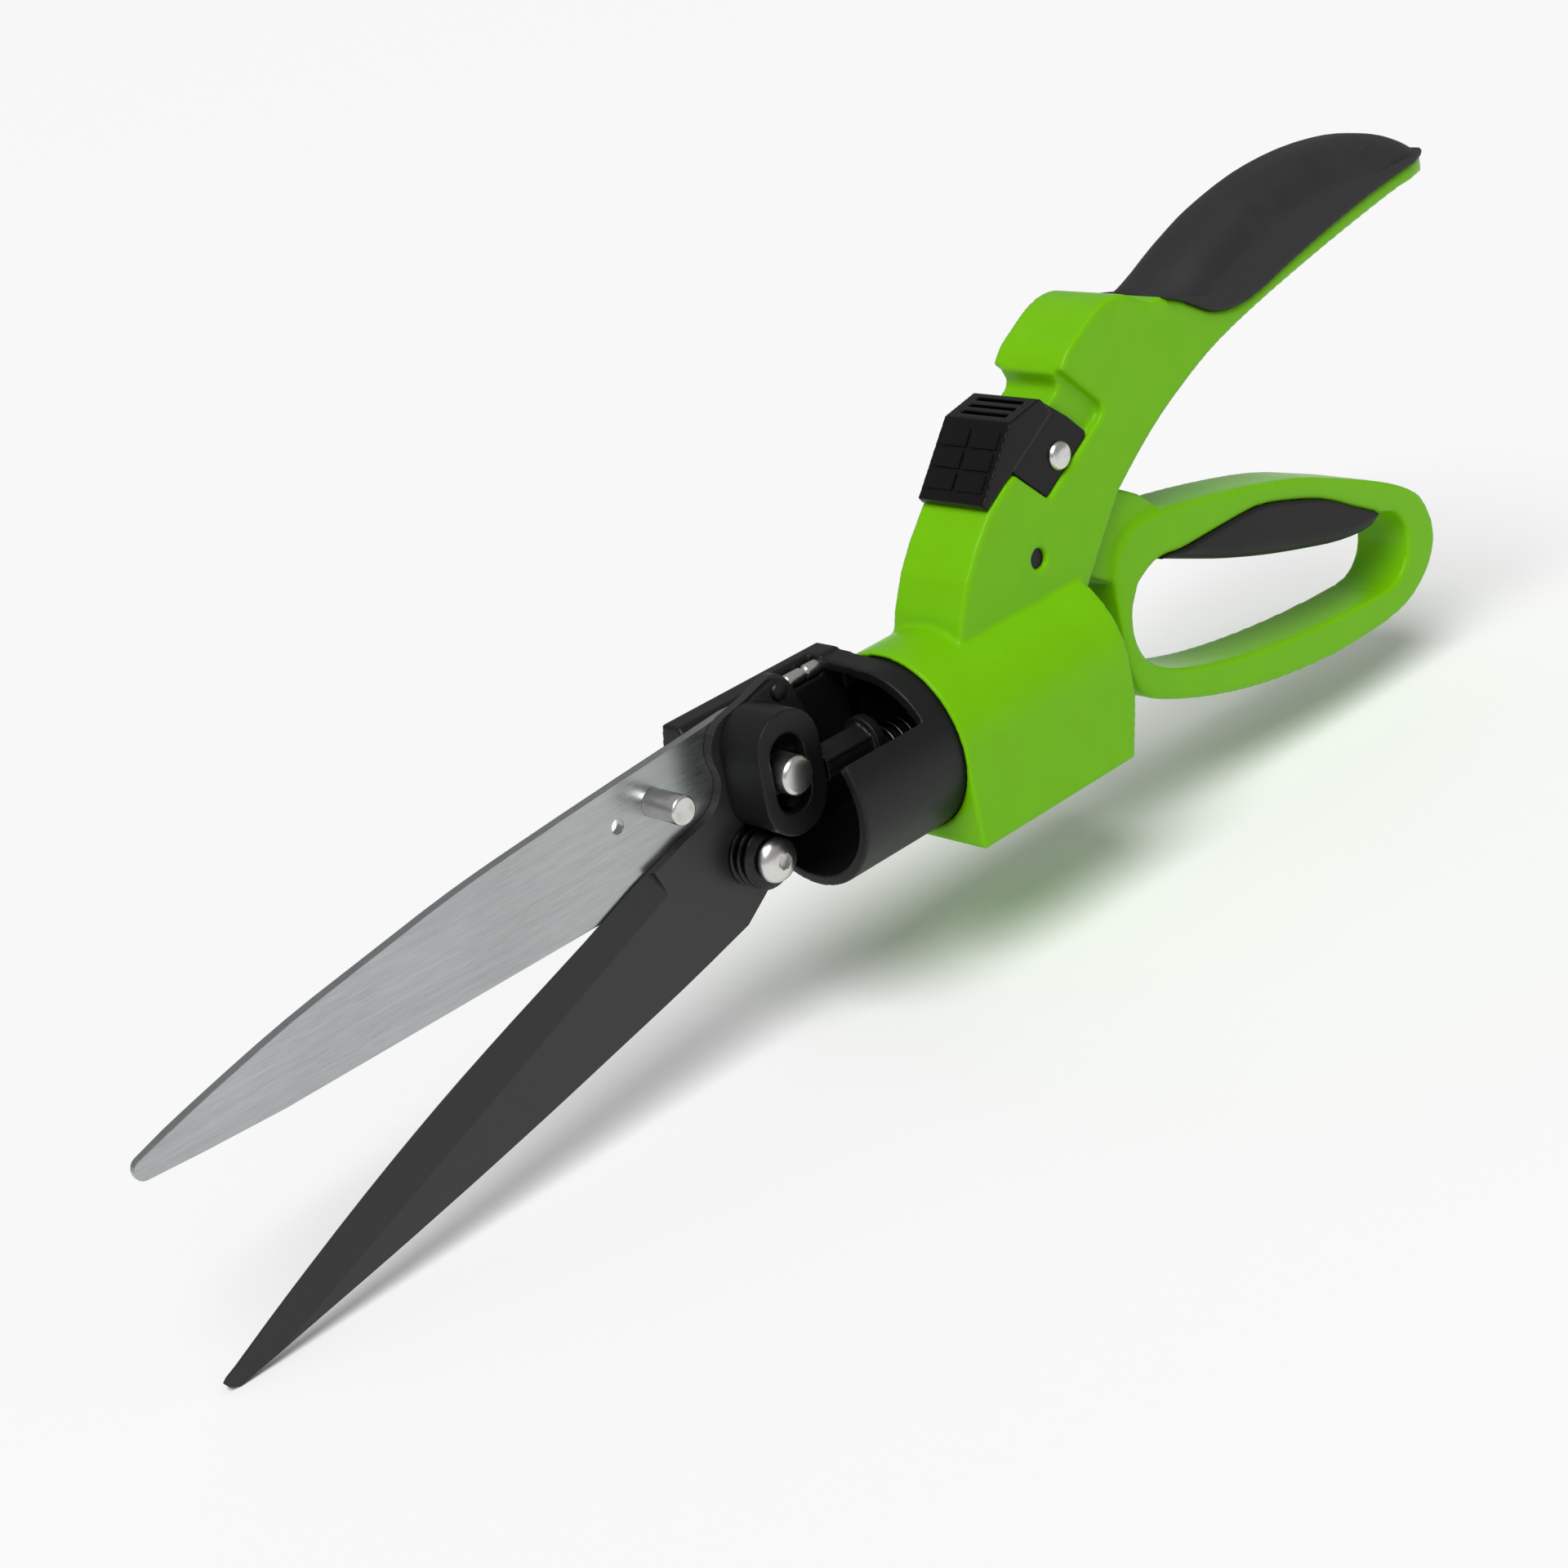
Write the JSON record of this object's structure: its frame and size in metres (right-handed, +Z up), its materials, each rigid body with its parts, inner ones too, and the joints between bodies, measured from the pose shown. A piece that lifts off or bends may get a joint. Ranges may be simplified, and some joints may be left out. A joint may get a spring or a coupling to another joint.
{
  "type": "grass shears",
  "caption": "One-handed grass shears with a scissor cutting head that swivels in a round housing, a looped lower handle and a thumb lock slider.",
  "frame": {"origin": "middle of the flat underside of the housing's skirt, below the swivel axis", "axes": "+X forward along the swivel axis to the blade tips, +Y to the tool's left, where the blades' pivot screw has its head, +Z up to the upper handle"},
  "size_m": [0.3669, 0.0427, 0.131],
  "materials": {
    "green_plastic": "satin moulded polyamide, lime green",
    "grip_rubber": "matte, finely textured",
    "pad_rubber": "matte",
    "black_plastic": "satin moulded polyamide, black",
    "slider_plastic": "semi-gloss, ribbed",
    "washer_plastic": "natural acetal",
    "blade_steel": "ground along the blade",
    "coated_steel": "dark non-stick coating, satin",
    "black_steel": "steel pin, black oxide",
    "pin_steel": "turned and zinc plated",
    "spring_steel": "oiled spring steel"
  },
  "bodies": {
    "housing": {"housing": "green_plastic", "upper_grip": "grip_rubber", "handle_pivot_pin": "black_steel"},
    "lower_handle": {"lower_handle": "green_plastic", "finger_pad": "pad_rubber"},
    "lock_slider": {"lock_slider": "slider_plastic", "slider_pin": "pin_steel"},
    "swivel_head": {"swivel_carrier": "black_plastic", "swivel_retainer": "spring_steel", "swivel_washer": "washer_plastic", "detent_ball": "pin_steel", "detent_spring": "spring_steel", "fixed_blade": "blade_steel", "blade_rivets": "pin_steel", "stop_pin": "pin_steel", "locating_pin": "pin_steel", "pivot_screw": "pin_steel", "pivot_bush": "pin_steel", "spring_washers": "spring_steel", "lock_nut": "pin_steel", "return_spring": "spring_steel"},
    "moving_blade": {"moving_blade": "coated_steel", "blade_boss": "black_plastic", "boss_rivets": "black_steel"},
    "push_rod": {"push_rod": "black_plastic", "drive_pin": "pin_steel", "drive_pin_clip": "spring_steel"}
  },
  "joints": [
    {"name": "head_swivel", "type": "hinge", "parent": "housing", "child": "swivel_head", "pos_m": [0, 0, 0.0204], "axis": [1, 0, 0], "continuous": true},
    {"name": "handle_squeeze", "type": "hinge", "parent": "housing", "child": "lower_handle", "pos_m": [-0.0165, 0, 0.0464], "axis": [0, 1, 0], "range_deg": [0, 14], "stiffness_Nm_per_rad": 1.2, "springref_deg": -28.65},
    {"name": "rod_slide", "type": "slide", "parent": "swivel_head", "child": "push_rod", "axis": [1, 0, 0], "range_m": [-0.0064, 0], "deforming": ["return_spring"]},
    {"name": "blade_swing", "type": "hinge", "parent": "swivel_head", "child": "moving_blade", "pos_m": [0.06, 0, 0.0114], "axis": [0, 1, 0], "range_deg": [-19.4, 0]},
    {"name": "lock_slide", "type": "slide", "parent": "housing", "child": "lock_slider", "axis": [-0.8634, 0, 0.5045], "range_m": [0, 0.005]}
  ],
  "couplings": [
    {"joint": "rod_slide", "follows": "handle_squeeze", "m_per_rad": -0.026},
    {"joint": "blade_swing", "follows": "handle_squeeze", "ratio": -1.38}
  ]
}
